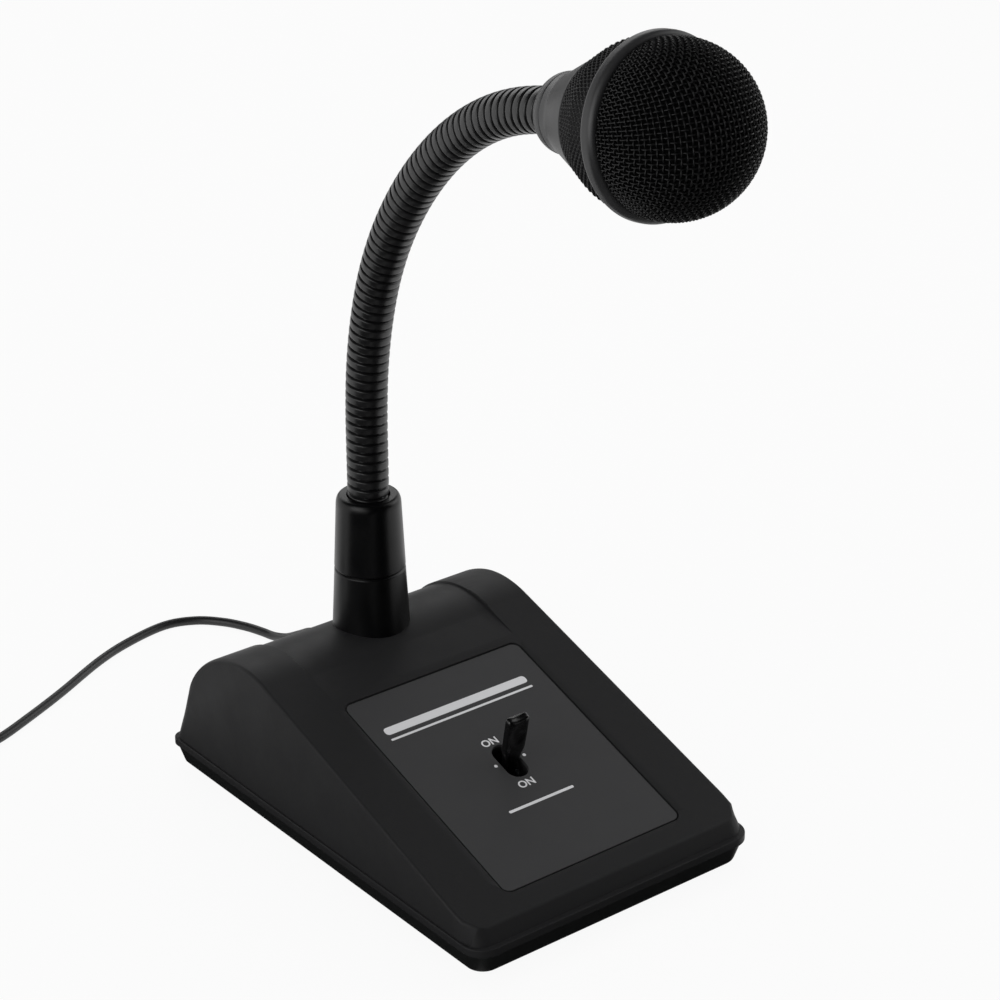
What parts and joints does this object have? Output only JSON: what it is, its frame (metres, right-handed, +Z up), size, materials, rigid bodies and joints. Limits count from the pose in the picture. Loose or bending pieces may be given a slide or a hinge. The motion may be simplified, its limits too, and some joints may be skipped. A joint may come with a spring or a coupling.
{
  "type": "desktop paging microphone",
  "caption": "Desktop paging microphone: weighted wedge base with a paddle switch, a bendable ribbed neck and a ball-grille head, with its cord coiled beside it.",
  "frame": {"origin": "on the desk, under the middle of the base", "axes": "+X to the speaker's right, -Y towards the speaker, +Z up"},
  "size_m": [0.2326, 0.3623, 0.3091],
  "materials": {
    "cover_plastic": "fine texture",
    "tray_plastic": "fine texture",
    "label_paint": "matte paint",
    "rubber": "matte",
    "steel": "zinc plated",
    "ballast_steel": "as rolled",
    "black_enamel": "satin",
    "neck_enamel": "satin",
    "head_enamel": "satin black",
    "grille_wire": "satin",
    "foam": "open cell foam",
    "capsule_case": "satin",
    "switch_moulding": "smooth",
    "lever_plastic": "gloss",
    "slide_plastic": "smooth",
    "brass": "plain",
    "board": "resin board",
    "lead_wire": "insulated wire",
    "cord_jacket": "matte",
    "tie_strap": "smooth",
    "plug_nickel": "nickel"
  },
  "bodies": {
    "base": {"top_cover": "cover_plastic", "bottom_tray": "tray_plastic", "label_plate": "label_paint", "rubber_feet": "rubber", "tray_screws": "steel", "ballast_plate": "ballast_steel", "ballast_screws": "steel", "lower_collar": "black_enamel", "upper_collar": "black_enamel", "neck_ferrule": "steel", "lock_washer": "steel", "ferrule_nut": "steel", "switch_body": "switch_moulding", "lever_pin": "steel", "return_spring": "steel", "fixed_contacts": "brass", "switch_screws": "steel", "terminal_board": "board", "solder_tags": "brass", "board_screws": "steel", "switch_leads": "lead_wire", "neck_lead": "cord_jacket", "inner_cable": "cord_jacket", "cable_clamp": "switch_moulding", "clamp_screw": "steel", "strain_relief": "rubber", "neck_link_1": "neck_enamel", "cord_lead": "cord_jacket", "cord_coil": "cord_jacket", "cord_tie": "tie_strap", "cord_tail": "cord_jacket", "plug_handle": "switch_moulding", "plug_contact": "plug_nickel"},
    "lever": {"switch_lever": "lever_plastic"},
    "slide": {"contact_slide": "slide_plastic", "contact_bridge": "brass"},
    "neck_link_2": {"neck_link_2": "neck_enamel"},
    "neck_link_3": {"neck_link_3": "neck_enamel"},
    "neck_link_4": {"neck_link_4": "neck_enamel"},
    "neck_link_5": {"neck_link_5": "neck_enamel"},
    "neck_link_6": {"neck_link_6": "neck_enamel"},
    "neck_link_7": {"neck_link_7": "neck_enamel"},
    "neck_link_8": {"neck_link_8": "neck_enamel"},
    "neck_link_9": {"neck_link_9": "neck_enamel"},
    "neck_link_10": {"neck_link_10": "neck_enamel"},
    "neck_link_11": {"neck_link_11": "neck_enamel"},
    "neck_link_12": {"neck_link_12": "neck_enamel"},
    "head": {"head_boss": "head_enamel", "knurled_band": "head_enamel", "rim_ring": "head_enamel", "grille": "grille_wire", "foam_liner": "foam", "capsule": "capsule_case", "capsule_mount": "rubber", "capsule_leads": "lead_wire"}
  },
  "joints": [
    {"name": "lever_tip", "type": "hinge", "parent": "base", "child": "lever", "pos_m": [0, -0.02947, 0.02852], "axis": [1, 0, 0], "range_deg": [-16, 16], "stiffness_Nm_per_rad": 0.15},
    {"name": "contact_travel", "type": "slide", "parent": "base", "child": "slide", "axis": [0, 0.9494, 0.314], "range_m": [-0.00195, 0.00195]},
    {"name": "neck_bend_1", "type": "hinge", "parent": "base", "child": "neck_link_2", "pos_m": [0, 0.04802, 0.12344], "axis": [1, 0, 0], "range_deg": [-13, 13]},
    {"name": "neck_sway_2", "type": "hinge", "parent": "neck_link_2", "child": "neck_link_3", "pos_m": [0, 0.04802, 0.14103], "axis": [0, 1, 0], "range_deg": [-9, 9]},
    {"name": "neck_bend_3", "type": "hinge", "parent": "neck_link_3", "child": "neck_link_4", "pos_m": [0, 0.04679, 0.15859], "axis": [1, 0, 0], "range_deg": [-19, 7]},
    {"name": "neck_sway_4", "type": "hinge", "parent": "neck_link_4", "child": "neck_link_5", "pos_m": [0, 0.04373, 0.17592], "axis": [0, 0.9848, 0.1736], "range_deg": [-9, 9]},
    {"name": "neck_bend_5", "type": "hinge", "parent": "neck_link_5", "child": "neck_link_6", "pos_m": [0, 0.03888, 0.19284], "axis": [1, 0, 0], "range_deg": [-21, 5]},
    {"name": "neck_sway_6", "type": "hinge", "parent": "neck_link_6", "child": "neck_link_7", "pos_m": [0, 0.03172, 0.20892], "axis": [0, 0.9135, 0.4067], "range_deg": [-9, 9]},
    {"name": "neck_bend_7", "type": "hinge", "parent": "neck_link_7", "child": "neck_link_8", "pos_m": [0, 0.0224, 0.22385], "axis": [1, 0, 0], "range_deg": [-20, 6]},
    {"name": "neck_sway_8", "type": "hinge", "parent": "neck_link_8", "child": "neck_link_9", "pos_m": [0, 0.01132, 0.23752], "axis": [0, 0.7771, 0.6293], "range_deg": [-9, 9]},
    {"name": "neck_bend_9", "type": "hinge", "parent": "neck_link_9", "child": "neck_link_10", "pos_m": [0, -0.00134, 0.24975], "axis": [1, 0, 0], "range_deg": [-21, 5]},
    {"name": "neck_sway_10", "type": "hinge", "parent": "neck_link_10", "child": "neck_link_11", "pos_m": [0, -0.01558, 0.2601], "axis": [0, 0.5878, 0.809], "range_deg": [-9, 9]},
    {"name": "neck_bend_11", "type": "hinge", "parent": "neck_link_11", "child": "neck_link_12", "pos_m": [0, -0.03126, 0.26809], "axis": [1, 0, 0], "range_deg": [-23, 3]},
    {"name": "neck_sway_12", "type": "hinge", "parent": "neck_link_12", "child": "head", "pos_m": [0, -0.04809, 0.27323], "axis": [0, 0.2924, 0.9563], "range_deg": [-9, 9]}
  ],
  "couplings": [
    {"joint": "lever_tip", "follows": "contact_travel", "rad_per_m": 142.86}
  ]
}
